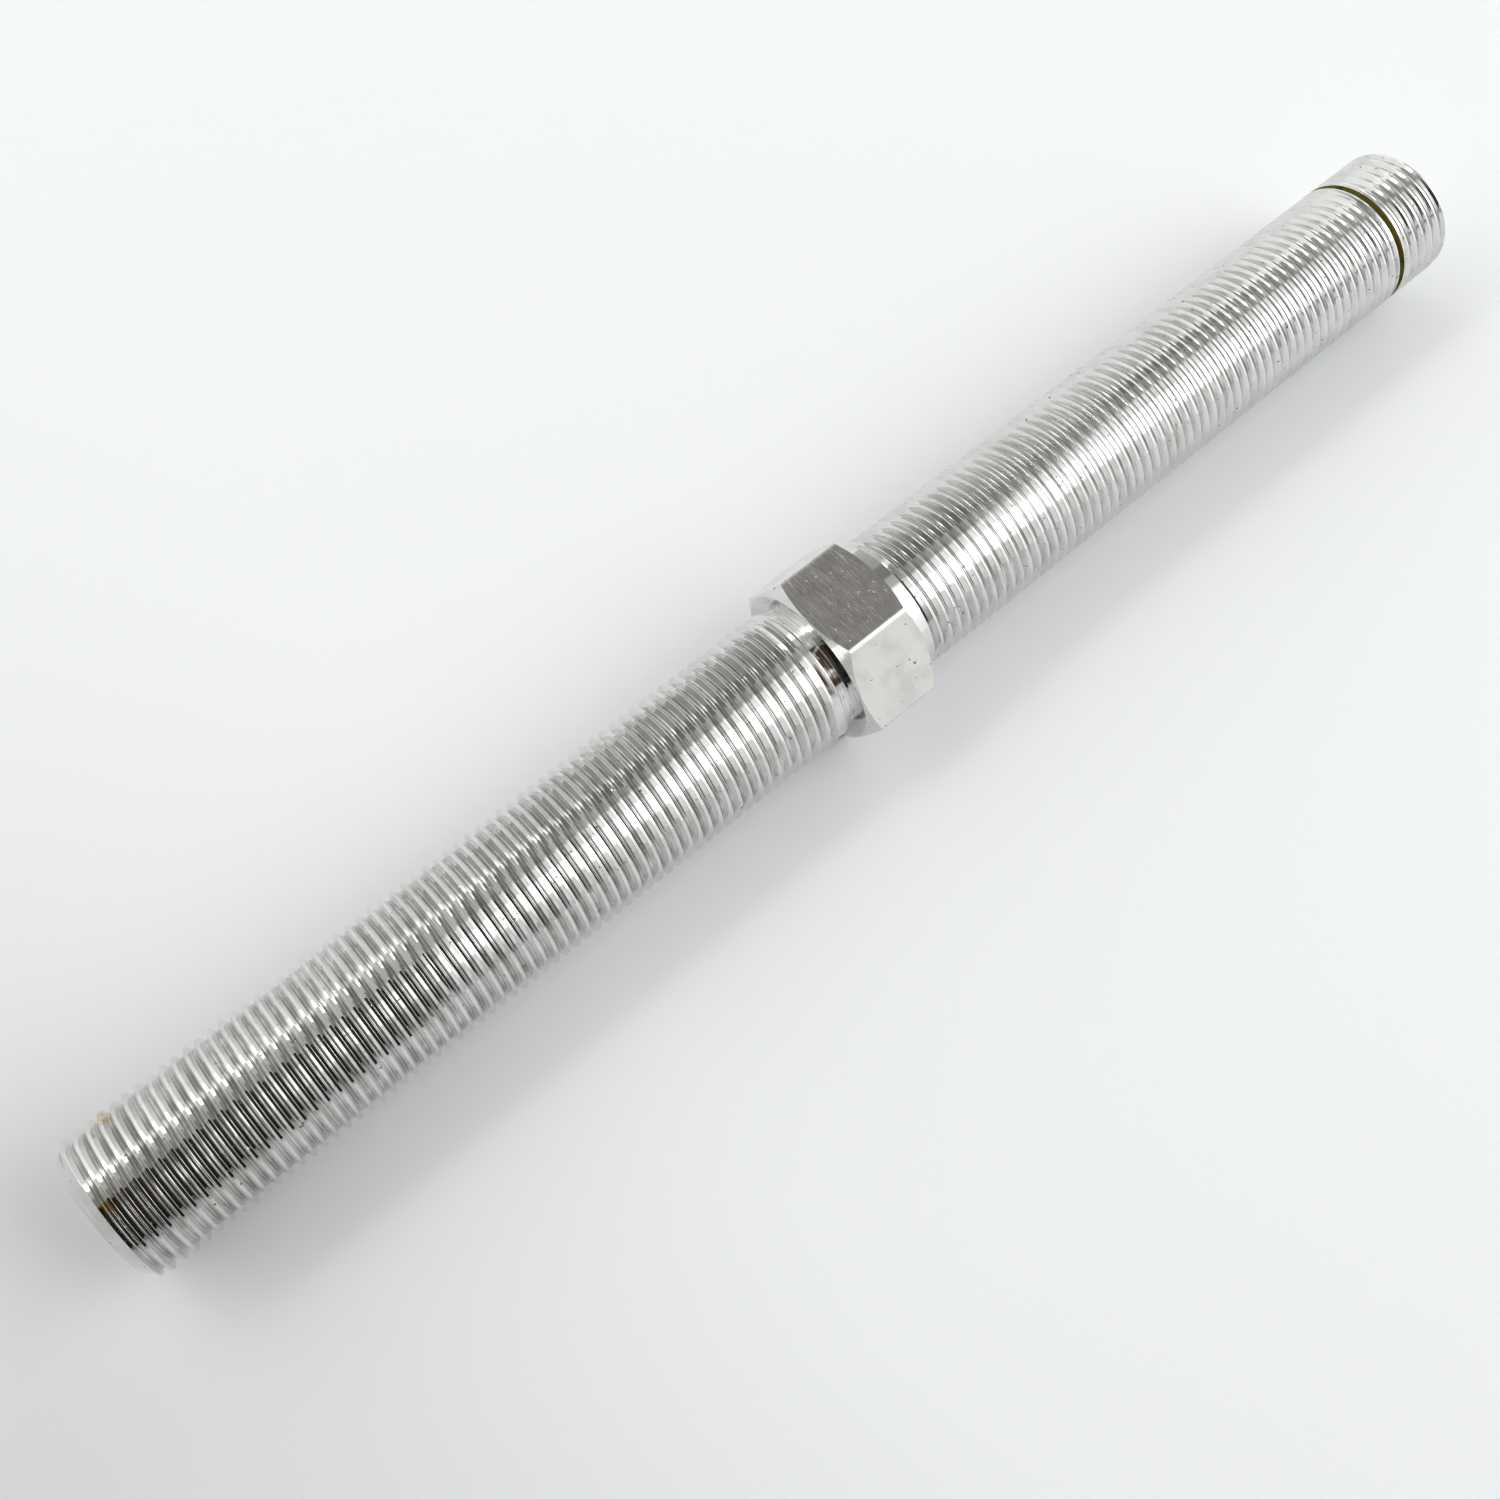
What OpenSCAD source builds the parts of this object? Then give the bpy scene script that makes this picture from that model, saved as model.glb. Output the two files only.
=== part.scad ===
// Linkage adjuster rod: one turned steel bar, threaded at both ends, with a spanner hexagon between.
// The two threads have opposite hands, so turning the hexagon draws both joints in or pushes both out.
// Units are millimetres. The bar runs along X, its near end at -X, and it lies on one hexagon flat on
// the plane Z = 0. The origin is the point of that plane below the middle of the bar.
// A fine thread is left as the plain envelope over its crests, which is what its mates slide over. The
// grooves can be switched on: parallel ones of the standard pitch and form, cut by one half section.

/* [Bar] */
// Near end to the near face of the hexagon
front_length = 98.5; // [40:0.5:300]
// Far face of the hexagon to the far end
rear_length = 97.5; // [40:0.5:300]
// 45 degree chamfer on both ends
end_chamfer = 1.5; // [0.5:0.1:2]

/* [Thread] */
// Cut the thread grooves, or leave the envelope over the crests
show_grooves = false;
// Diameter over the crests
thread_d = 17.86; // [12:0.01:20]
// Crest to crest
pitch = 1.5; // [1:0.25:2.5]
// Angle between the two flanks of a groove
thread_angle = 60; // [55:1:60]
// Plain turning between the neck and the first full groove of the near thread
front_land = 1.4; // [1:0.1:10]
// Plain bar between the hexagon and the first groove of the far thread
rear_land = 1.55; // [0.5:0.05:10]
// Depth of the shallow turn where the near thread runs out
runout_depth = 0.2; // [0.05:0.05:0.4]

/* [Neck] */
// Depth of the relief turned between the near thread and the hexagon, below the crests
neck_depth = 0.75; // [0.2:0.05:2]
// Length of that relief
neck_length = 1.65; // [0.5:0.05:5]

/* [Marking ring] */
// Depth below the crests of the ring that tells the far thread from the near one
mark_depth = 1; // [0.3:0.05:2]
// Width of the ring
mark_width = 1.1; // [0.6:0.1:3]
// Far end to the nearer edge of the ring
mark_from_end = 9.9; // [3:0.1:30]

/* [Hexagon] */
// Size across the flats, for the spanner
across_flats = 21; // [20.5:0.5:30]
// Length along the bar, chamfers included
hex_length = 10.5; // [6:0.5:30]
// Turned off each sharp corner of the hexagon
corner_cut = 0.1; // [0.05:0.01:0.5]
// From a flat in to the edge of the round end face
face_inset = 0.2; // [0:0.05:0.25]
// Slope of the chamfers, measured from the end face
hex_chamfer_angle = 30; // [15:1:45]

/* [Hidden] */
$fn = 48;
total_length = front_length + hex_length + rear_length;
thread_r = thread_d / 2;
// Shares of the pitch that the standard thread form gives to its depth and to its flat crests
thread_depth = 0.6134 * pitch;
crest_flat = pitch / 8;
// Length along the bar that one sloping flank takes up in each millimetre of depth
flank_run = tan(thread_angle / 2);
// Flat at the bottom of a groove, and half of a full groove's width at the crests
root_flat = pitch - crest_flat - 2 * thread_depth * flank_run;
half_groove = root_flat / 2 + thread_depth * flank_run;
corner_r = across_flats / 2 / cos(30) - corner_cut;
face_r = across_flats / 2 - face_inset;
hex_chamfer = (corner_r - face_r) * tan(hex_chamfer_angle);

// Outline of one groove, as points [radius, distance from the hexagon]
function groove(middle, depth) = [
    [thread_r, middle - root_flat / 2 - depth * flank_run],
    [thread_r - depth, middle - root_flat / 2],
    [thread_r - depth, middle + root_flat / 2],
    [thread_r, middle + root_flat / 2 + depth * flank_run]
];

// Outlines of the full grooves that fit on a shank outside its plain land
function grooves(land, length) = show_grooves ? [
    for (middle = [land + half_groove : pitch : length - half_groove]) each groove(middle, thread_depth)
] : [];

// Half section of a threaded shank, cut to the end chamfer. It starts from the face of the hexagon at 0,
// and below that its core runs on to the middle of the hexagon, because the two are one bar.
module shank_section(length, base, land) {
    core_r = thread_r - neck_depth;
    intersection() {
        polygon(concat(
            [[0, -hex_length / 2], [core_r, -hex_length / 2]], base, grooves(land, length),
            [[thread_r, length], [0, length]]
        ));
        polygon([
            [0, -hex_length / 2], [thread_r, -hex_length / 2], [thread_r, length - end_chamfer],
            [thread_r - end_chamfer, length], [0, length]
        ]);
    }
}

// Near shank: a turned neck against the hexagon, then the left-hand thread, which ends in a shallow turn
module front_shank() {
    land_end = neck_length + front_land;
    rotate_extrude()
        shank_section(front_length, concat(
            [[thread_r - neck_depth, neck_length], [thread_r, neck_length]],
            show_grooves ? groove(land_end + half_groove - pitch, runout_depth) : []
        ), land_end);
}

// Far shank: the plain bar against the hexagon, then the right-hand thread with its marking ring
module rear_shank() {
    rotate_extrude()
        difference() {
            shank_section(rear_length, [[thread_r - neck_depth, 0], [thread_r, 0]], rear_land);
            translate([thread_r - mark_depth, rear_length - mark_from_end - mark_width])
                square([2 * mark_depth, mark_width]);
        }
}

// Hexagon with turned corners and a chamfer towards each face
module hexagon() {
    intersection() {
        rotate([0, 0, 30])
            cylinder(d = across_flats / cos(30), h = hex_length, $fn = 6);
        rotate_extrude()
            polygon([
                [0, 0], [face_r, 0], [corner_r, hex_chamfer],
                [corner_r, hex_length - hex_chamfer], [face_r, hex_length], [0, hex_length]
            ]);
    }
}

module adjuster_rod() {
    color("silver")
        translate([front_length - total_length / 2, 0, across_flats / 2])
            rotate([0, 90, 0])
                union() {
                    mirror([0, 0, 1]) front_shank();
                    hexagon();
                    translate([0, 0, hex_length]) rear_shank();
                }
}

adjuster_rod();
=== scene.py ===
"""Linkage adjuster rod: a zinc-plated steel bar, threaded at both ends round a spanner hexagon."""

import logging
import math
from collections.abc import Iterable, Sequence
from dataclasses import dataclass
from enum import Enum, IntEnum

import bpy
import numpy as np
from mathutils import Matrix, Vector


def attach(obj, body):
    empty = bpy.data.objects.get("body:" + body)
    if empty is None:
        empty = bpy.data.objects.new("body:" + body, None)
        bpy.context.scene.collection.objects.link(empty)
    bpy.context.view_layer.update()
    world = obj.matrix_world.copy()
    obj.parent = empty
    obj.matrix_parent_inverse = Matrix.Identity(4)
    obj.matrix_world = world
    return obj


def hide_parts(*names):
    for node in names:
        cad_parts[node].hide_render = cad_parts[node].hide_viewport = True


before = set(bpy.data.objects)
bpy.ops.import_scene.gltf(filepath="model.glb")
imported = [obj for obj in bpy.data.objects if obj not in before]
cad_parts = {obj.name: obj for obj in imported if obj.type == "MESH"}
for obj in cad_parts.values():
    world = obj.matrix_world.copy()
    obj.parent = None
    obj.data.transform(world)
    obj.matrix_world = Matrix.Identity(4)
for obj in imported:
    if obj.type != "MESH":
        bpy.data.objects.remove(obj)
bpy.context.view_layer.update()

MM = 0.001
AXIS_HEIGHT = 10.5
CREST_RADIUS = 8.93
SEED_STEP = (31.7, 17.3, 11.9)
LOG = logging.getLogger("adjuster_rod")
Point = tuple[float, float]
Colour = tuple[float, float, float]
Paint = Colour | bpy.types.NodeSocket


class Surface(IntEnum):
    """The kinds of surface on the bar. The value is a face's material slot."""

    THREAD = 0
    TURNED = 1
    FLAT = 2
    RING = 3
    NICK = 4


class Hand(IntEnum):
    """Which way a thread winds."""

    LEFT = -1
    RIGHT = 1


class Solver(Enum):
    """What a Boolean does with its second solid."""

    JOIN = "UNION"
    KEEP_COMMON = "INTERSECT"
    CUT = "DIFFERENCE"


def make_mesh(
    name: str, points: np.ndarray, faces: Iterable[Sequence[int]], kinds: Iterable[int]
) -> bpy.types.Object:
    """Links a new mesh object.

    Args:
        name: The object's name.
        points: Its vertices in millimetres, with the bar's axis along X through the origin.
        faces: Vertex numbers of each face.
        kinds: The Surface of each face.

    Returns:
        The new object, in metres.
    """
    mesh = bpy.data.meshes.new(name)
    mesh.from_pydata((np.asarray(points) * MM).tolist(), [], [tuple(f) for f in faces])
    mesh.polygons.foreach_set("material_index", list(kinds))
    mesh.update()
    piece = bpy.data.objects.new(name, mesh)
    bpy.context.scene.collection.objects.link(piece)
    return piece


def combine(
    first: bpy.types.Object, second: bpy.types.Object, how: Solver
) -> bpy.types.Object:
    """Joins, cuts or keeps the common part of two closed solids.

    Args:
        first: The solid that is changed.
        second: The other solid, which is used up.
        how: What to do with it.

    Returns:
        The first object, with its new mesh.
    """
    step = first.modifiers.new("combine", "BOOLEAN")
    step.operation, step.object, step.solver = how.value, second, "MANIFOLD"
    shown = first.evaluated_get(bpy.context.evaluated_depsgraph_get())
    result = bpy.data.meshes.new_from_object(shown)
    first.modifiers.remove(step)
    old, first.data = first.data, result
    bpy.data.meshes.remove(old)
    spent = second.data
    bpy.data.objects.remove(second)
    bpy.data.meshes.remove(spent)
    return first


def revolve(
    name: str, outline: Sequence[Point], kinds: Sequence[Surface], steps: int = 144
) -> bpy.types.Object:
    """Turns an outline about the bar's axis.

    Args:
        name: The object's name.
        outline: (x, radius) points in order of x, the first and last on the axis.
        kinds: The Surface of each stretch between two points.
        steps: Facets round the bar.

    Returns:
        A closed solid.
    """
    rim = outline[1:-1]
    turn = np.arange(steps) * 2 * math.pi / steps
    rings = [
        np.column_stack((np.full(steps, x), -r * np.sin(turn), r * np.cos(turn)))
        for x, r in rim
    ]
    ends = np.array([[outline[0][0], 0, 0], [outline[-1][0], 0, 0]])
    points = np.vstack([*rings, ends])
    first, last = len(rim) * steps, len(rim) * steps + 1
    faces, face_kinds = [], []
    for j in range(steps):
        k = (j + 1) % steps
        faces.append((first, k, j))
        face_kinds.append(kinds[0])
        for i in range(len(rim) - 1):
            a, b = i * steps, (i + 1) * steps
            faces.append((a + j, a + k, b + k, b + j))
            face_kinds.append(kinds[i + 1])
        end = (len(rim) - 1) * steps
        faces.append((last, end + j, end + k))
        face_kinds.append(kinds[-1])
    return make_mesh(name, points, faces, face_kinds)


@dataclass(frozen=True)
class VeeForm:
    """A V thread with flat crests and round roots, in millimetres.

    flank is how far a flank leans from the bar's axis.
    """

    pitch: float = 1.5
    crest_height: float = CREST_RADIUS
    crest_flat: float = 0.3
    crest_round: float = 0.05
    root_round: float = 0.2
    crest_steps: int = 1
    root_steps: int = 3
    flank: float = math.radians(57.5)

    @property
    def sharp_height(self) -> float:
        """Height of the V from its crest's flat, before it is rounded."""
        return (self.pitch - self.crest_flat) / 2 * math.tan(self.flank)

    @property
    def root_height(self) -> float:
        """Distance of the root's lowest line from the axis."""
        saved = (self.crest_round + self.root_round) * (1 / math.cos(self.flank) - 1)
        return self.crest_height + saved - self.sharp_height

    def outline(self) -> list[Point]:
        """One pitch of the form.

        Returns:
            (offset from the crest's middle, radius) points, from the start of a crest to the end
            of the next root.
        """
        crest = [
            side * self.flank * i / self.crest_steps
            for side in (-1, 1)
            for i in range(self.crest_steps + 1)[::side]
        ]
        root = [
            self.flank - 2 * self.flank * i / self.root_steps
            for i in range(self.root_steps + 1)
        ]
        above = self.crest_height - self.crest_round
        below = self.root_height + self.root_round
        half = len(crest) // 2
        return [
            (
                (i // half - 0.5) * self.crest_flat + self.crest_round * math.sin(t),
                above + self.crest_round * math.cos(t),
            )
            for i, t in enumerate(crest)
        ] + [
            (
                self.pitch / 2 - self.root_round * math.sin(t),
                below - self.root_round * math.cos(t),
            )
            for t in root
        ]

    def lean(self, offset: np.ndarray) -> np.ndarray:
        """How far the surface leans along the bar.

        Args:
            offset: Distances from a crest's middle, in millimetres.

        Returns:
            Angles from straight out, in radians.
        """
        s = (offset + self.pitch / 2) % self.pitch - self.pitch / 2
        limit = math.sin(self.flank)
        past = np.sign(s) * np.maximum(np.abs(s) - self.crest_flat / 2, 0)
        crest = np.arcsin(np.clip(past / self.crest_round, -limit, limit))
        from_root = np.sign(s) * (self.pitch / 2 - np.abs(s))
        root = np.arcsin(np.clip(from_root / self.root_round, -limit, limit))
        return np.where(np.abs(crest) < np.abs(root), crest, root)


@dataclass(frozen=True)
class Helix:
    """One thread: its form, its hand and where a root crosses the top of the bar."""

    form: VeeForm
    hand: Hand
    root_at: float
    root_turn: float
    steps: int = 72
    spare_turns: int = 2

    def offset(self, x: np.ndarray, turn: np.ndarray) -> np.ndarray:
        """Distance along the bar from the middle of a crest.

        Args:
            x: Places along the bar.
            turn: Angles about it, in radians.

        Returns:
            Offsets, which repeat with the pitch.
        """
        per_turn = self.hand * self.form.pitch / (2 * math.pi)
        crest = self.root_at + self.form.pitch / 2 - per_turn * self.root_turn
        return x - crest - per_turn * turn

    def solid(self, name: str, low: float, high: float) -> bpy.types.Object:
        """Winds the form into a closed solid that reaches past both limits.

        Args:
            name: The object's name.
            low: Where the thread has to begin.
            high: Where it has to end.

        Returns:
            The threaded solid, with plain cones on its ends.
        """
        outline = self.form.outline()
        count, pitch, steps = len(outline), self.form.pitch, self.steps
        start = float(self.offset(np.array(0.0), np.array(0.0)))
        first = math.floor((low + start) / pitch) - self.spare_turns
        last = math.ceil((high + start) / pitch) + self.spare_turns
        profile = np.array(
            [
                (k * pitch - start + s, r)
                for k in range(first, last)
                for s, r in outline
            ]
        )
        turn = np.arange(steps) * 2 * math.pi / steps
        shift = self.hand * pitch * np.arange(steps) / steps
        x = profile[:, :1] + shift[None, :]
        r = np.repeat(profile[:, 1:], steps, axis=1)
        points = np.stack((x, -r * np.sin(turn), r * np.cos(turn)), axis=-1)
        rows, wrap = len(profile), self.hand * count

        def at(i: int, j: int) -> int:
            """The vertex of profile point i at step j, where a full turn moves on by one pitch."""
            return (i + wrap) * steps if j == steps else i * steps + j

        lowest = max(0, -wrap)
        highest = rows - 1 - max(0, wrap)
        faces = [
            (at(i, j), at(i, j + 1), at(i + 1, j + 1), at(i + 1, j))
            for i in range(lowest, highest)
            for j in range(steps)
        ]
        loops = []
        for edge in (lowest, highest):
            seam = range(edge + self.hand, edge + wrap + self.hand, int(self.hand))
            ring = [at(edge, j) for j in range(steps)]
            loops.append(ring + [at(i, 0) for i in reversed(seam)])
        cone = self.spare_turns * pitch
        tips = [
            (points[loops[0][0] // steps, 0, 0] - cone, 0, 0),
            (points[loops[1][0] // steps, 0, 0] + cone, 0, 0),
        ]
        for side, loop in enumerate(loops):
            tip = rows * steps + side
            for a, b in zip(loop, loop[1:] + loop[:1]):
                faces.append((a, b, tip) if side else (b, a, tip))
        cloud = np.vstack([points.reshape(-1, 3), np.array(tips)])
        used = sorted({v for f in faces for v in f})
        renumber = {v: n for n, v in enumerate(used)}
        faces = [tuple(renumber[v] for v in f) for f in faces]
        return make_mesh(name, cloud[used], faces, [Surface.THREAD] * len(faces))


@dataclass(frozen=True)
class Shank:
    """One threaded end of the bar.

    The helix is cut to the outline. The core is the plain turning that it runs out on, and the
    lands are the plain turning on each side of a ring. All are (x, radius) points.
    """

    name: str
    helix: Helix
    outline: tuple[Point, ...]
    kinds: tuple[Surface, ...]
    core: tuple[Point, ...]
    lands: tuple[Point, ...] = ()

    def build(self) -> bpy.types.Object:
        """Makes the shank.

        Returns:
            One closed solid.
        """
        low, high = self.outline[0][0], self.outline[-1][0]
        thread = self.helix.solid(self.name, low, high)
        if self.lands:
            plain = [Surface.TURNED] * (len(self.lands) - 1)
            combine(thread, revolve("lands", self.lands, plain), Solver.JOIN)
        limits = revolve("limits", self.outline, self.kinds)
        combine(thread, limits, Solver.KEEP_COMMON)
        plain = [Surface.TURNED] * (len(self.core) - 1)
        return combine(thread, revolve("core", self.core, plain), Solver.JOIN)


@dataclass(frozen=True)
class Hexagon:
    """The spanner hexagon, left from the drawn bar, with both faces chamfered."""

    low: float = -4.75
    high: float = 5.75
    half_flats: float = 10.5
    corner_round: float = 0.7
    face_radius: float = 10.3
    chamfer: float = math.radians(30)
    corner_steps: int = 6
    overhang: float = 1.0
    spare: float = 0.2
    facets: int = 216

    @property
    def corner_centre(self) -> float:
        """Distance from the axis to the middle of a corner's rounding."""
        return (self.half_flats - self.corner_round) / math.cos(math.radians(30))

    def section(self) -> list[Point]:
        """The hexagon's outline across the bar.

        Returns:
            (y, z) points round it, with a flat on top and one below.
        """
        points = []
        for corner in range(6):
            middle = math.radians(30 + 60 * corner)
            for step in range(self.corner_steps + 1):
                turn = middle + math.radians(60) * (step / self.corner_steps - 0.5)
                points.append(
                    (
                        -self.corner_centre * math.sin(middle)
                        - self.corner_round * math.sin(turn),
                        self.corner_centre * math.cos(middle)
                        + self.corner_round * math.cos(turn),
                    )
                )
        return points

    def build(self) -> bpy.types.Object:
        """Makes the hexagon.

        Returns:
            One closed solid, turned to a chamfer on both ends.
        """
        section = self.section()
        count = len(section)
        ends_at = (self.low - self.overhang, self.high + self.overhang)
        points = [(x, y, z) for x in ends_at for y, z in section]
        sides = [
            (j, (j + 1) % count, count + (j + 1) % count, count + j)
            for j in range(count)
        ]
        ends = [tuple(reversed(range(count))), tuple(range(count, 2 * count))]
        prism = make_mesh(
            "hexagon", np.array(points), sides + ends, [Surface.FLAT] * (count + 2)
        )
        reach = self.half_flats / math.cos(math.radians(30)) + self.spare
        run = (reach - self.face_radius) * math.tan(self.chamfer)
        cut = (
            (self.low, 0),
            (self.low, self.face_radius),
            (self.low + run, reach),
            (self.high - run, reach),
            (self.high, self.face_radius),
            (self.high, 0),
        )
        limits = revolve("hexagon_limits", cut, [Surface.TURNED] * 5, self.facets)
        return combine(prism, limits, Solver.KEEP_COMMON)


@dataclass(frozen=True)
class Nick:
    """A small dent left by a knock: an ellipsoid pressed in, in millimetres and degrees."""

    x: float
    turn: float
    along: float
    across: float
    depth: float
    radius: float = CREST_RADIUS
    slant: float = 0.0

    def shape(self, grid: int = 8) -> tuple[np.ndarray, list[tuple[int, ...]]]:
        """The ellipsoid that is cut away.

        Args:
            grid: Bands from pole to pole.

        Returns:
            Its points, and its faces by point number.
        """
        around = grid * 2
        tilt = np.pi * np.arange(1, grid) / grid
        spin = 2 * np.pi * np.arange(around) / around
        ball = [(0.0, 0.0, 1.0)]
        ball += [
            (math.sin(t) * math.cos(a), math.sin(t) * math.sin(a), math.cos(t))
            for t in tilt
            for a in spin
        ]
        ball.append((0.0, 0.0, -1.0))
        last = len(ball) - 1
        faces: list[tuple[int, ...]] = []
        for a in range(around):
            b = (a + 1) % around
            faces.append((0, 1 + a, 1 + b))
            faces.append((last, last - around + b, last - around + a))
            for i in range(grid - 2):
                row = 1 + i * around
                faces.append((row + a, row + around + a, row + around + b, row + b))
        points = np.array(ball) * (self.along / 2, self.across / 2, self.depth)
        place = (
            Matrix.Rotation(math.radians(self.turn), 4, "X")
            @ Matrix.Translation((self.x, 0, self.radius))
            @ Matrix.Rotation(math.radians(self.slant), 4, "Z")
        )
        moved = np.array([place @ Vector(p) for p in points])
        return moved, faces


@dataclass(frozen=True)
class Wear:
    """The knocks on the bar."""

    nicks: tuple[Nick, ...]

    def build(self) -> bpy.types.Object:
        """Makes all the ellipsoids.

        Returns:
            One mesh of closed shells.
        """
        points: list[np.ndarray] = []
        faces: list[tuple[int, ...]] = []
        for nick in self.nicks:
            cloud, shell = nick.shape()
            start = sum(len(p) for p in points)
            points.append(cloud)
            faces += [tuple(start + v for v in face) for face in shell]
        return make_mesh("nicks", np.vstack(points), faces, [Surface.NICK] * len(faces))


def round_bar(turn: np.ndarray) -> np.ndarray:
    """Directions straight out from the axis, at angles in radians from straight up."""
    return np.column_stack((np.zeros_like(turn), -np.sin(turn), np.cos(turn)))


@dataclass(frozen=True)
class Corners:
    """What is known at each face corner of the bar's mesh, in millimetres from its axis."""

    place: np.ndarray
    normal: np.ndarray
    centre: np.ndarray
    kind: np.ndarray

    @classmethod
    def of(cls, mesh: bpy.types.Mesh) -> "Corners":
        """Reads a mesh.

        Args:
            mesh: The mesh, in metres about the bar's axis.

        Returns:
            For each corner its place, and the normal, middle and Surface of its face.
        """
        faces = len(mesh.polygons)
        vertex = np.empty(len(mesh.loops), np.int32)
        mesh.loops.foreach_get("vertex_index", vertex)
        place = np.empty(len(mesh.vertices) * 3)
        mesh.vertices.foreach_get("co", place)
        size, kind = np.empty(faces, np.int32), np.empty(faces, np.int32)
        mesh.polygons.foreach_get("loop_total", size)
        mesh.polygons.foreach_get("material_index", kind)
        normal, centre = np.empty(faces * 3), np.empty(faces * 3)
        mesh.polygons.foreach_get("normal", normal)
        mesh.polygons.foreach_get("center", centre)
        owner = np.repeat(np.arange(faces), size)
        return cls(
            place.reshape(-1, 3)[vertex] / MM,
            normal.reshape(-1, 3)[owner],
            centre.reshape(-1, 3)[owner] / MM,
            kind[owner],
        )


@dataclass(frozen=True)
class Shading:
    """Sets each face corner's normal from the true surface, so that round faces look smooth."""

    near: Helix
    far: Helix
    hexagon: Hexagon
    flat_tolerance: float = math.radians(1)

    def apply(self, mesh: bpy.types.Mesh) -> None:
        """Gives the mesh its corner normals.

        Args:
            mesh: The bar's mesh, in metres about its own axis.
        """
        mesh.polygons.foreach_set("use_smooth", [True] * len(mesh.polygons))
        corners = Corners.of(mesh)
        result = corners.normal.copy()
        ahead = corners.place[:, 0] >= 0
        for helix, side in ((self.near, ~ahead), (self.far, ahead)):
            mine = side & (corners.kind == Surface.THREAD)
            result[mine] = self.threaded(helix, corners)[mine]
        turned = (corners.kind == Surface.TURNED) | (corners.kind == Surface.RING)
        result[turned] = self.turned(corners)[turned]
        rounded, away = self.rounded(corners)
        result[rounded] = away[rounded]
        result /= np.linalg.norm(result, axis=1)[:, None]
        mesh.normals_split_custom_set(result.tolist())

    def threaded(self, helix: Helix, corners: Corners) -> np.ndarray:
        """Normals of a thread.

        Args:
            helix: The thread.
            corners: The mesh's corners.

        Returns:
            A direction for every corner, right where the corner is on this thread.
        """
        x, y, z = corners.place.T
        turn = np.arctan2(-y, z)
        around = round_bar(turn + math.pi / 2)
        lean = np.tan(helix.form.lean(helix.offset(x, turn)))
        radius = np.maximum(np.hypot(y, z), 1)
        slope = -helix.hand * helix.form.pitch / (2 * math.pi * radius)
        along = np.array((1.0, 0.0, 0.0)) + slope[:, None] * around
        return round_bar(turn) + lean[:, None] * along

    def turned(self, corners: Corners) -> np.ndarray:
        """Normals of the faces left by the lathe.

        Args:
            corners: The mesh's corners.

        Returns:
            A direction for every corner, right where the corner is on such a face.
        """
        _, y, z = corners.place.T
        out = round_bar(np.arctan2(-y, z))
        _, y, z = corners.centre.T
        outward = (corners.normal * round_bar(np.arctan2(-y, z))).sum(1)
        return corners.normal * (1, 0, 0) + outward[:, None] * out

    def rounded(self, corners: Corners) -> tuple[np.ndarray, np.ndarray]:
        """Normals of the hexagon's rounded corners.

        Args:
            corners: The mesh's corners.

        Returns:
            Which corners are on one, and a direction for every corner.
        """
        sixth = math.radians(60)
        _, y, z = corners.place.T
        middle = (np.floor(np.arctan2(-y, z) / sixth) + 0.5) * sixth
        away = corners.place * (0, 1, 1) - self.hexagon.corner_centre * round_bar(middle)
        _, y, z = corners.normal.T
        facing = np.arctan2(-y, z)
        off_flat = np.abs((facing + sixth / 2) % sixth - sixth / 2)
        return (corners.kind == Surface.FLAT) & (off_flat > self.flat_tolerance), away


@dataclass(frozen=True)
class AdjusterRod:
    """The whole bar."""

    near: Shank
    hexagon: Hexagon
    far: Shank
    wear: Wear

    def build(self) -> bpy.types.Object:
        """Joins the three stretches into one closed mesh and places it on the floor.

        Returns:
            The bar, with no finish on it yet.
        """
        bar = self.near.build()
        bar.name = "threaded_bar"
        combine(bar, self.hexagon.build(), Solver.JOIN)
        combine(bar, self.far.build(), Solver.JOIN)
        combine(bar, self.wear.build(), Solver.CUT)
        kinds = [face.material_index for face in bar.data.polygons]
        bar.data.materials.clear()
        bar.data.polygons.foreach_set("material_index", kinds)
        Shading(self.near.helix, self.far.helix, self.hexagon).apply(bar.data)
        bar.data.transform(Matrix.Translation((0, 0, AXIS_HEIGHT * MM)))
        bar.data.update()
        return bar


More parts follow.
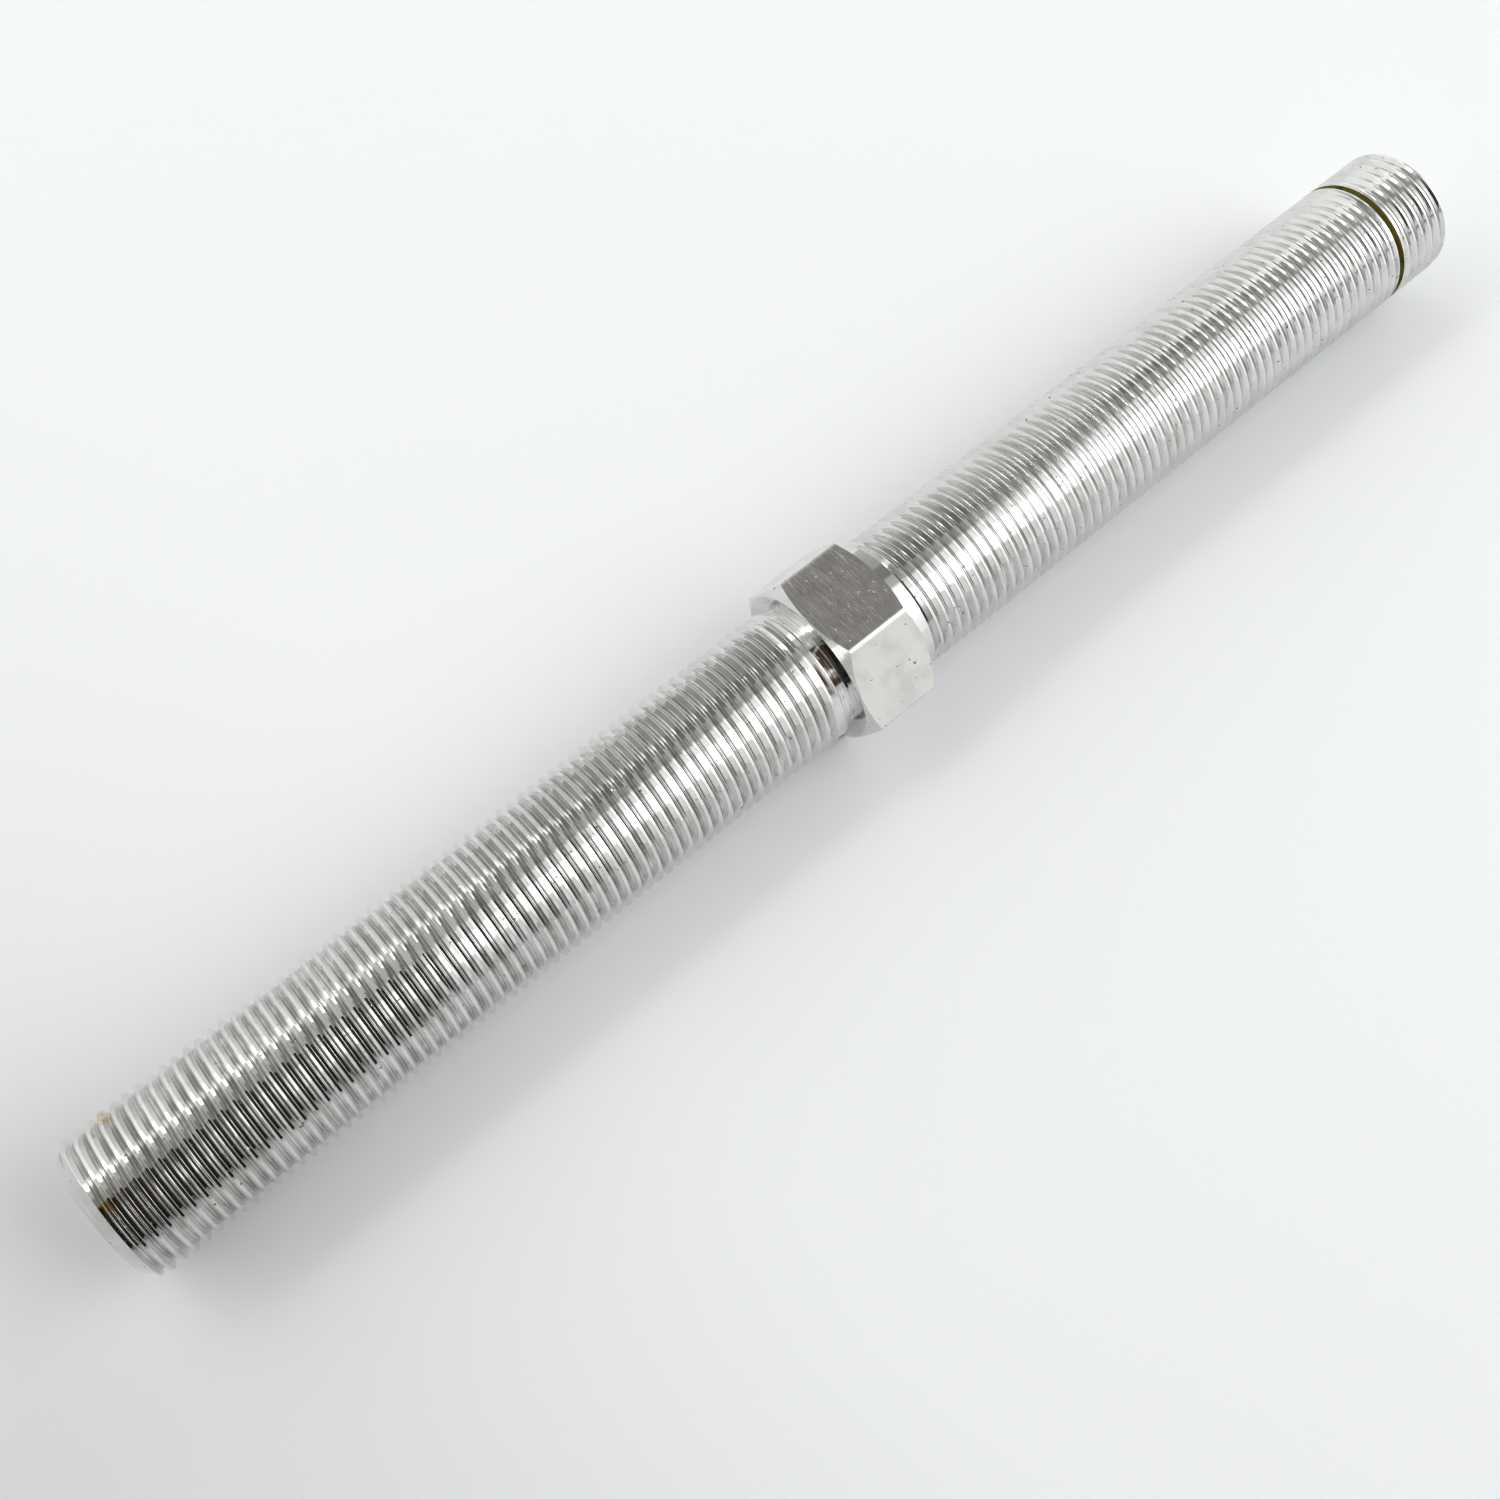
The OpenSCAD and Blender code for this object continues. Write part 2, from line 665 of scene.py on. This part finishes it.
def design() -> AdjusterRod:
    """The bar's sizes, in millimetres from the middle of its length.

    Returns:
        The bar, ready to build.
    """
    form = VeeForm()
    start_turn = math.radians(35.5)
    end, chamfer = 103.25, 2.0
    past = CREST_RADIUS + 0.5
    tip = past - chamfer
    buried = 7.9
    neck, centre = -6.4, 0.5
    near = Shank(
        "near_shank",
        Helix(form, Hand.LEFT, -8.3, start_turn),
        ((-end, 0), (-end, tip), (chamfer - end, past), (neck, past), (neck, 0)),
        (Surface.TURNED,) * 4,
        (
            (-9.2, 0), (-9.2, 7.7), (-7.9, 8.36), (-7.3, 8.6), (-6.5, 8.75), (neck, 8.9),
            (-6.35, 8.2), (-6.1, 8.22), (-6.0, 8.16), (-5.75, 8.2), (-5.65, 8.15), (-5.35, 8.19),
            (-5.25, 8.14), (-4.95, 8.18), (-4.9, 8.3), (centre, 8.3), (centre, 0),
        ),
    )
    ring_low, ring_high, ring_floor = 92.6, 93.55, 7.93
    far = Shank(
        "far_shank",
        Helix(form, Hand.RIGHT, 8.1, start_turn),
        (
            (7.0, 0), (7.0, past), (ring_low, past), (ring_low, ring_floor),
            (ring_high, ring_floor), (ring_high, past), (end - chamfer, past), (end, tip), (end, 0),
        ),
        (Surface.TURNED,) * 2 + (Surface.RING,) * 3 + (Surface.TURNED,) * 3,
        (
            (centre, 0), (centre, CREST_RADIUS), (7.7, CREST_RADIUS), (8.6, buried), (8.6, 0),
        ),
        (
            (92.1, 0), (92.1, buried), (92.35, 8.86), (93.8, 8.86), (94.1, buried), (94.1, 0),
        ),
    )
    wear = Wear(
        (
            Nick(98.6, -17.5, 2.6, 0.5, 0.28, slant=12),
            Nick(97.9, -20.5, 0.5, 1.3, 0.22, slant=20),
            Nick(99.3, -14.0, 0.4, 1.0, 0.2, slant=-15),
            Nick(6.1, 53.5, 0.25, 0.9, 0.06),
            Nick(-87.1, 46.0, 0.7, 0.35, 0.16, slant=20),
            Nick(-25.0, 62.5, 0.9, 0.25, 0.12, slant=35),
            Nick(-23.6, 75.0, 1.2, 0.25, 0.12, slant=50),
            Nick(-22.7, 86.0, 1.0, 0.3, 0.14, slant=50),
            Nick(-39.5, 22.0, 0.8, 0.5, 0.15),
            Nick(-46.0, 41.0, 0.5, 0.6, 0.14),
            Nick(-69.5, 12.0, 0.8, 0.4, 0.16, slant=-30),
            Nick(-68.2, 30.0, 0.5, 0.7, 0.16),
            Nick(-34.4, 6.0, 0.5, 0.5, 0.12),
            Nick(-54.2, -8.0, 0.6, 0.4, 0.14),
            Nick(32.0, 12.0, 0.9, 0.4, 0.15, slant=25),
            Nick(37.5, 50.0, 0.5, 0.5, 0.13),
            Nick(62.3, -30.0, 0.7, 0.5, 0.15),
            Nick(79.8, -12.0, 1.0, 0.35, 0.14, slant=15),
        )
    )
    return AdjusterRod(near, Hexagon(), far, wear)


def opaque(colour: Paint) -> Paint:
    """Adds the fourth number that a socket needs to a plain colour, and passes on a link."""
    return (*colour, 1) if isinstance(colour, tuple) else colour


class Graph:
    """Builds one node tree."""

    def __init__(self, tree: bpy.types.NodeTree) -> None:
        """Takes an empty tree.

        Args:
            tree: The tree to fill.
        """
        self.tree = tree
        tree.nodes.clear()

    def node(
        self, kind: str, settings: dict | None = None, inputs: dict | None = None
    ) -> bpy.types.Node:
        """Makes any node.

        Args:
            kind: Its type, without the leading ShaderNode.
            settings: Properties, set first; "stops" gives a ramp's (place, colour) pairs.
            inputs: Values or links, by socket name or number.

        Returns:
            The new node.
        """
        made = self.tree.nodes.new("ShaderNode" + kind)
        for name, value in (settings or {}).items():
            if name == "stops":
                ramp = made.color_ramp
                while len(ramp.elements) < len(value):
                    ramp.elements.new(0.5)
                for stop, (place, colour) in zip(ramp.elements, value):
                    stop.position, stop.color = place, (*colour, 1)
            else:
                setattr(made, name, value)
        for name, value in (inputs or {}).items():
            socket = made.inputs[name]
            if isinstance(value, Value):
                self.tree.links.new(value.socket, socket)
            elif isinstance(value, bpy.types.NodeSocket):
                self.tree.links.new(value, socket)
            else:
                socket.default_value = value
        return made

    def value(self, kind: str, settings: dict, inputs: dict) -> "Value":
        """Makes a node as node() does, and wraps its first output as a number."""
        return Value(self, self.node(kind, settings, inputs).outputs[0])

    def mix(self, mask: "Value | float", low: Paint, high: Paint) -> bpy.types.NodeSocket:
        """Mixes two colours.

        Args:
            mask: 0 for the first colour, 1 for the second.
            low: The first, a colour or a link.
            high: The second.

        Returns:
            The mixed colour.
        """
        settings = {"data_type": "RGBA", "clamp_factor": True}
        inputs = {0: mask, 6: opaque(low), 7: opaque(high)}
        return self.node("Mix", settings, inputs).outputs[2]

    def matt(self, colour: Colour, roughness: float) -> None:
        """Finishes the tree as a plain matt surface.

        Args:
            colour: Its colour.
            roughness: How matt it is.
        """
        inputs = {"Base Color": opaque(colour), "Roughness": roughness}
        shader = self.node("BsdfPrincipled", {}, inputs)
        self.node("OutputMaterial", {}, {0: shader.outputs[0]})


class Value:
    """A number in a node tree, with Python's operators as Math nodes."""

    def __init__(self, graph: Graph, socket: bpy.types.NodeSocket) -> None:
        """Wraps a socket.

        Args:
            graph: The tree's builder.
            socket: The output that gives the number.
        """
        self.graph, self.socket = graph, socket

    def math(self, operation: str, *others: "Value | float") -> "Value":
        """Puts this value and others through a Math node."""
        return self.graph.value("Math", {"operation": operation}, dict(enumerate((self, *others))))

    def __add__(self, other: "Value | float") -> "Value":
        """self + other."""
        return self.math("ADD", other)

    __radd__ = __add__

    def __sub__(self, other: "Value | float") -> "Value":
        """self - other."""
        return self.math("SUBTRACT", other)

    def __rsub__(self, other: float) -> "Value":
        """other - self."""
        return (self * -1) + other

    def __mul__(self, other: "Value | float") -> "Value":
        """self * other."""
        return self.math("MULTIPLY", other)

    __rmul__ = __mul__

    def ramp(self, low: float, high: float) -> "Value":
        """A smooth step.

        Args:
            low: Where it starts. It may be the larger.
            high: Where it ends.

        Returns:
            0 on low's side, 1 on high's side.
        """
        if low > high:
            return 1 - self.ramp(high, low)
        settings = {"interpolation_type": "SMOOTHSTEP"}
        return self.graph.value("MapRange", settings, {0: self, 1: low, 2: high})

    def within(self, low: float, high: float, soft: float) -> "Value":
        """1 between low and high, with soft edges of the given width."""
        return self.ramp(low - soft, low + soft) * self.ramp(high + soft, high - soft)


@dataclass(frozen=True)
class BarSpace:
    """Places on the bar, as a material sees them: along it, round it and out from its axis."""

    graph: Graph
    place: bpy.types.NodeSocket
    along: Value
    turn: Value
    radius: Value

    @classmethod
    def on(cls, graph: Graph) -> "BarSpace":
        """Makes the coordinates in a material.

        Args:
            graph: The material's tree.

        Returns:
            Millimetres along the bar from its middle, degrees about it and millimetres from
            its axis.
        """
        seen = graph.node("TexCoord").outputs["Object"]
        place = graph.node(
            "Mapping",
            {"vector_type": "POINT"},
            {0: seen, 1: (0, 0, -AXIS_HEIGHT), 3: (1 / MM,) * 3},
        ).outputs[0]
        apart = graph.node("SeparateXYZ", {}, {0: place})
        x, y, z = (Value(graph, apart.outputs[i]) for i in range(3))
        turn = (y * -1).math("ARCTAN2", z) * (180 / math.pi)
        return cls(graph, place, x, turn, (y * y + z * z).math("SQRT"))

    def noise(self, scale: float, detail: float = 1.0, seed: float = 0.0) -> Value:
        """Even noise.

        Args:
            scale: Features per millimetre.
            detail: How many finer layers are added to it.
            seed: Picks another pattern.

        Returns:
            A number about 0.5.
        """
        place = self.place
        if seed:
            shift = tuple(seed * step for step in SEED_STEP)
            place = self.graph.node("VectorMath", {"operation": "ADD"}, {0: place, 1: shift})
            place = place.outputs[0]
        inputs = {"Vector": place, "Scale": scale, "Detail": detail}
        return self.graph.value("TexNoise", {}, inputs)

    def streaks(
        self, fine: float, long: float, detail: float = 1.0, deep: float = 1.0
    ) -> Value:
        """Noise drawn out round the bar, like the marks of a tool.

        Args:
            fine: Streaks per millimetre along the bar and out from it.
            long: Features per degree round the bar.
            detail: How many finer layers are added to it.
            deep: How much the streaks change with distance from the axis.

        Returns:
            A number about 0.5.
        """
        ends = {0: self.along * fine, 1: self.turn * long, 2: self.radius * (fine * deep)}
        vector = self.graph.node("CombineXYZ", {}, ends).outputs[0]
        inputs = {"Vector": vector, "Scale": 1.0, "Detail": detail}
        return self.graph.value("TexNoise", {}, inputs)

    def spot(self, where: "Spot") -> Value:
        """1 on a patch of the surface and 0 off it."""
        soft_turn = where.soft * where.degrees_per_mm
        return self.along.within(*where.x, where.soft) * self.turn.within(*where.turn, soft_turn)


@dataclass(frozen=True)
class Spot:
    """A patch between two places along the bar, in mm, and two angles about it, in degrees."""

    x: Point
    turn: Point
    soft: float = 0.6
    degrees_per_mm: float = 6.0


@dataclass(frozen=True)
class ZincPlate:
    """Bright zinc plating on steel. Subclasses add the marks of how each surface was cut."""

    name: str = "zinc"
    colour: Colour = (0.72, 0.725, 0.715)
    dull: Colour = (0.60, 0.60, 0.575)
    pit: Colour = (0.14, 0.12, 0.10)
    roughness: float = 0.045
    roughness_range: float = 0.06
    depth: float = 0.004
    film_cover: float = 0.25
    pit_cover: float = 0.8
    pit_depth: float = 3.0
    pit_roughness: float = 0.3
    pit_rarity: Point = (0.72, 0.78)
    dull_cover: float = 0.7

    def marks(self, bar: BarSpace) -> Value:
        """The fine relief of the surface, about 0.5."""
        return bar.noise(2.5, 2)

    def colour_on(self, bar: BarSpace) -> bpy.types.NodeSocket:
        """The plating's colour, a little duller in patches."""
        patch = bar.noise(0.35, 2).ramp(0.4, 0.7) * self.dull_cover
        return bar.graph.mix(patch, self.colour, self.dull)

    def film(self, bar: BarSpace) -> "Value | float":
        """How much dull film lies on the surface."""
        return 0.0

    def build(self) -> bpy.types.Material:
        """Makes the material.

        Returns:
            The plating, with its pits, marks and film.
        """
        material = bpy.data.materials.new(self.name)
        material.use_nodes = True
        graph = Graph(material.node_tree)
        bar = BarSpace.on(graph)
        pits = bar.noise(1.7, 1, 5.0).ramp(*self.pit_rarity)
        relief = self.marks(bar) - pits * self.pit_depth
        heights = {"Strength": 1.0, "Distance": self.depth * MM, "Height": relief}
        uneven = (bar.noise(0.5, 1, 3.0) - 0.5) * self.roughness_range
        inputs = {
            "Base Color": graph.mix(pits * self.pit_cover, self.colour_on(bar), self.pit),
            "Metallic": 1 - self.film(bar) * self.film_cover,
            "Roughness": uneven + pits * self.pit_roughness + self.roughness,
            "Normal": graph.node("Bump", {}, heights).outputs[0],
        }
        shader = graph.node("BsdfPrincipled", {}, inputs)
        graph.node("OutputMaterial", {}, {0: shader.outputs[0]})
        return material


@dataclass(frozen=True)
class ThreadPlate(ZincPlate):
    """Plating on the threads, with die marks, dirt and painted shade in the grooves and a little
    residue.
    """

    name: str = "zinc_thread"
    gold: Colour = (0.55, 0.36, 0.10)
    # Groove-bottom colours: dirt and painted shade, browner on the near half and greyer on the far
    # half.
    near_dirt_and_shade: Colour = (0.12, 0.105, 0.09)
    far_dirt_and_shade: Colour = (0.16, 0.16, 0.155)
    groove_top: float = 8.34
    groove_floor: float = 8.23
    dirt_and_shade_cover: float = 0.65
    gold_cover: float = 0.85
    gold_spots: tuple[Spot, Spot] = (
        Spot((-102.3, -99.8), (14, 24)),
        Spot((-97.6, -96.4), (-66, -36)),
    )
    rough_spot: Spot = Spot((20, 45), (-50, 18), 3)
    rough_height: float = 7.0
    die_height: float = 1.6

    def film(self, bar: BarSpace) -> Value:
        """How much dull film lies in the bottom of the grooves, which also masks the dirt and
        painted shade there.
        """
        low = bar.radius.ramp(self.groove_top, self.groove_floor)
        return low * bar.noise(0.3, 1, 6.0).ramp(0.2, 0.7)

    def marks(self, bar: BarSpace) -> Value:
        """Die marks round the bar, and coarse grain on the top of the far shank."""
        grain = bar.spot(self.rough_spot) * (bar.noise(6, 1, 8.0) - 0.5) * self.rough_height
        return bar.streaks(4.0, 0.03) * self.die_height + grain

    def colour_on(self, bar: BarSpace) -> bpy.types.NodeSocket:
        """The colour of the threads.

        Args:
            bar: Where each point of the surface is.

        Returns:
            Zinc, darkened in the bottom of the grooves by dirt and painted shade, browner on the
            near half, with gold residue near the near end.
        """
        zinc = super().colour_on(bar)
        # Painted shade with dirt in the groove bottoms, darker and browner on the near half.
        dirt_and_shade = bar.graph.mix(bar.along.ramp(-8, 8), self.near_dirt_and_shade, self.far_dirt_and_shade)
        plated = bar.graph.mix(self.film(bar) * self.dirt_and_shade_cover, zinc, dirt_and_shade)
        first, second = self.gold_spots
        gold = (bar.spot(first) + bar.spot(second)) * bar.noise(1.6, 1, 4.0).ramp(0.42, 0.55)
        return bar.graph.mix(gold * self.gold_cover, plated, self.gold)


@dataclass(frozen=True)
class TurnedPlate(ZincPlate):
    """Plating on the faces left by the lathe, with fine rings and a rusty stain by the neck."""

    name: str = "zinc_turned"
    rust: Colour = (0.20, 0.085, 0.035)
    soot: Colour = (0.035, 0.028, 0.022)
    neck_spot: Spot = Spot((-6.2, -4.9), (12, 50), 0.25)
    run_out_spot: Spot = Spot((-7.4, -6.8), (24, 52), 0.25)
    ring_height: float = 2.0

    def marks(self, bar: BarSpace) -> Value:
        """Rings about the axis."""
        return bar.streaks(9.0, 0.004) * self.ring_height

    def colour_on(self, bar: BarSpace) -> bpy.types.NodeSocket:
        """Zinc, with the stain."""
        stain = bar.graph.mix(bar.streaks(2.5, 0.05).ramp(0.42, 0.68), self.soot, self.rust)
        return bar.graph.mix(self.film(bar), super().colour_on(bar), stain)

    def film(self, bar: BarSpace) -> Value:
        """How much of the stain hides the plating's mirror."""
        stain = bar.spot(self.run_out_spot) + bar.spot(self.neck_spot)
        return stain * bar.noise(0.7, 1, 7.0).ramp(0.25, 0.5)


@dataclass(frozen=True)
class FlatPlate(ZincPlate):
    """Plating on the hexagon's flats, brushed across the bar."""

    name: str = "zinc_flat"
    colour: Colour = (0.75, 0.735, 0.71)
    roughness: float = 0.12
    depth: float = 0.010
    brush_height: float = 3.5

    def marks(self, bar: BarSpace) -> Value:
        """Fine brush marks."""
        return bar.streaks(6.0, 0.06, 2, 0.02) * self.brush_height + bar.noise(0.8, 1, 1.0)


@dataclass(frozen=True)
class RingPlate(ZincPlate):
    """The marking groove, which keeps the olive tint of the passivation."""

    name: str = "zinc_ring"
    colour: Colour = (0.36, 0.33, 0.10)
    dull: Colour = (0.22, 0.20, 0.05)
    roughness: float = 0.3
    tint_strength: float = 2.5

    def film(self, bar: BarSpace) -> Value:
        """The tint lies all over it."""
        return bar.noise(0.8, 1, 2.0).ramp(0.2, 0.6) * self.tint_strength


def stage_card(
    name: str,
    finish: str,
    corners: Sequence[tuple[float, float, float]],
    colour: Colour,
    roughness: float,
) -> bpy.types.Object:
    """Makes a flat card that isn't part of the object.

    Args:
        name: The card's name.
        finish: Its material's name.
        corners: Its four corners, in millimetres.
        colour: Its colour.
        roughness: How matt it is.

    Returns:
        The card.
    """
    card = make_mesh(name, np.array(corners), [(0, 1, 2, 3)], [0])
    material = bpy.data.materials.new(finish)
    material.use_nodes = True
    Graph(material.node_tree).matt(colour, roughness)
    card.data.materials.append(material)
    return card


@dataclass(frozen=True)
class Paper:
    """The pale matt sheet that the bar lies on."""

    colour: Colour = (0.915, 0.93, 0.945)
    roughness: float = 0.9
    half_width: float = 1.5

    def build(self) -> bpy.types.Object:
        """Makes the floor.

        Returns:
            The sheet.
        """
        w = self.half_width / MM
        corners = ((-w, -w, 0), (w, -w, 0), (w, w, 0), (-w, w, 0))
        return stage_card("floor", "paper", corners, self.colour, self.roughness)


@dataclass(frozen=True)
class Band:
    """One slice of the room across the bar: how bright it is at each angle.

    until is where the slice gives way to the next, as the part of a direction that points down
    the bar, from -1 to 1. The stops are angles from straight up towards -Y, in degrees, with the
    light that comes from there.
    """

    until: float
    stops: tuple[tuple[float, Colour], ...]
    soft: float = 0.06


@dataclass(frozen=True)
class Room:
    """The surroundings, which the bar mirrors."""

    bands: tuple[Band, ...]
    reach: float = 120.0
    white: Colour = (0.86, 0.89, 0.90)

    def build(self) -> None:
        """Makes the world."""
        world = bpy.data.worlds.new("room")
        bpy.context.scene.world = world
        world.use_nodes = True
        graph = Graph(world.node_tree)
        apart = graph.node("SeparateXYZ", {}, {0: graph.node("TexCoord").outputs["Generated"]})
        x, y, z = (Value(graph, apart.outputs[i]) for i in range(3))
        across = (y * -1).math("ARCTAN2", z) * (90 / math.pi / self.reach) + 0.5
        colour: object = None
        for band, before in zip(self.bands, (None, *self.bands)):
            stops = [(angle / self.reach / 2 + 0.5, light) for angle, light in band.stops]
            ring = graph.node("ValToRGB", {"stops": stops}, {0: across}).outputs[0]
            if before is None:
                colour = ring
            else:
                past = x.ramp(before.until - before.soft, before.until + before.soft)
                colour = graph.mix(past, colour, ring)
        room = graph.node("Background", {}, {0: colour, 1: 1.0})
        white = graph.node("Background", {}, {0: opaque(self.white), 1: 1.0})
        seen = graph.node("LightPath").outputs["Is Camera Ray"]
        mixed = graph.node("MixShader", {}, {0: seen, 1: room.outputs[0], 2: white.outputs[0]})
        graph.node("OutputWorld", {}, {0: mixed.outputs[0]})


@dataclass(frozen=True)
class Flag:
    """A dark card that leans over the near end, which the camera doesn't see.

    It reaches from low to high along the bar, and edges are its two long edges, as (y, z).
    """

    low: float = -420.0
    high: float = -50.0
    edges: tuple[Point, ...] = ((-23.0, 195.0), (-300.0, 3.0))
    colour: Colour = (0.036, 0.029, 0.023)
    roughness: float = 1.0

    def build(self) -> bpy.types.Object:
        """Makes the card.

        Returns:
            The card, hidden from the camera.
        """
        top, foot = self.edges
        corners = (
            (self.low, *top), (self.high, *top), (self.high, *foot), (self.low, *foot),
        )
        card = stage_card("flag", "flag", corners, self.colour, self.roughness)
        card.visible_camera = False
        return card


@dataclass(frozen=True)
class Viewpoint:
    """The camera: where it stands and which way its picture runs."""

    place: tuple[float, float, float] = (-73.25, -75.46, 192.67)
    right: tuple[float, float, float] = (0.75538, -0.65481, -0.02510)
    down: tuple[float, float, float] = (-0.59449, -0.66868, -0.44661)
    forward: tuple[float, float, float] = (0.27566, 0.35228, -0.89438)
    focal_pixels: float = 1738.7
    picture_width: float = 1500
    sensor: float = 36.0
    clip: Point = (0.01, 20)

    def build(self) -> None:
        """Makes the scene's camera."""
        camera = bpy.data.cameras.new("camera")
        camera.sensor_width = self.sensor
        camera.lens = self.focal_pixels / self.picture_width * self.sensor
        camera.clip_start, camera.clip_end = self.clip
        piece = bpy.data.objects.new("camera", camera)
        up, back = -Vector(self.down), -Vector(self.forward)
        axes = Matrix((Vector(self.right), up, back)).transposed()
        piece.matrix_world = Matrix.Translation(Vector(self.place) * MM) @ axes.to_4x4()
        bpy.context.scene.collection.objects.link(piece)
        bpy.context.scene.camera = piece


def studio() -> Room:
    """The lights and dark walls about the bar, from behind its near end to ahead of its far end.

    Returns:
        The room, with a bright strip light on each side of the bar and dull walls between.
    """

    def even(level: float) -> Colour:
        """A light of no tint."""
        return (level, level, level)

    wall = (1.06, 1.08, 1.08)
    near = (
        (-112, wall), (-88, (1.0, 1.02, 1.0)), (-40, (1.2, 1.22, 1.18)), (-33, even(3.4)),
        (-27, even(3.4)), (-24, (0.8, 0.82, 0.78)), (-13, (0.75, 0.77, 0.72)),
        (-10, (0.42, 0.42, 0.39)), (5, (0.32, 0.31, 0.28)), (9, even(0.34)), (76, even(0.30)),
        (88, (0.72, 0.77, 0.83)), (130, (0.86, 0.89, 0.93)),
    )
    beside = (
        (-112, wall), (-88, (0.90, 0.92, 0.89)), (-40, (0.85, 0.87, 0.83)), (-33, even(1.4)),
        (-27, even(1.4)), (-24, (0.58, 0.59, 0.56)), (-13, (0.56, 0.57, 0.53)),
        (-10, (0.58, 0.59, 0.55)), (5, (0.58, 0.59, 0.55)), (9, even(1.15)), (28, even(1.6)),
        (44, even(1.7)), (62, even(1.1)), (70, even(0.7)), (86, even(0.6)), (92, wall),
    )
    middle = (
        (-112, wall), (-88, (0.56, 0.58, 0.54)), (-40, (0.42, 0.43, 0.40)),
        (-33, (0.27, 0.255, 0.24)), (-14, (0.25, 0.235, 0.225)), (-10, (0.50, 0.51, 0.48)),
        (4, (0.56, 0.57, 0.54)), (9, even(1.4)), (24, even(1.7)), (29, even(3.1)), (56, even(2.9)),
        (62, even(1.4)), (95, even(1.1)), (112, wall),
    )
    beyond = (
        (-112, wall), (-88, (0.70, 0.71, 0.67)), (-40, (0.50, 0.51, 0.47)),
        (-33, (0.28, 0.29, 0.27)), (-14, (0.26, 0.27, 0.25)), (-10, (0.52, 0.53, 0.50)),
        (4, (0.62, 0.63, 0.60)), (9, even(1.45)), (24, even(1.7)), (29, even(3.1)),
        (56, even(2.9)), (62, even(1.4)), (95, even(1.15)), (112, wall),
    )
    far = (
        (-112, even(1.1)), (-88, even(1.5)), (-40, (1.6, 1.6, 1.55)), (-33, even(1.0)),
        (-14, even(0.8)), (4, even(0.85)), (9, even(1.3)), (24, even(1.4)), (29, even(2.7)),
        (58, even(2.5)), (64, even(1.2)), (95, even(1.1)), (112, wall),
    )
    return Room(
        (
            Band(-0.02, near, 0.05),
            Band(0.17, beside),
            Band(0.44, middle),
            Band(0.66, beyond),
            Band(2, far),
        )
    )


def main() -> None:
    """Builds the bar and its surroundings in order."""
    logging.basicConfig(level=logging.INFO, format="%(name)s: %(message)s")
    Viewpoint().build()
    bar = design().build()
    finishes = (ThreadPlate(), TurnedPlate(), FlatPlate(), RingPlate(), ZincPlate("zinc_nick"))
    for finish in finishes:
        bar.data.materials.append(finish.build())
    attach(bar, "root")
    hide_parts("adjuster_rod")
    LOG.info("%s: %d faces", bar.name, len(bar.data.polygons))
    for piece in (Paper().build(), Flag().build()):
        LOG.info("%s: stage", piece.name)
    studio().build()
    bpy.context.scene.view_settings.view_transform = "Standard"


if __name__ == "__main__":
    main()
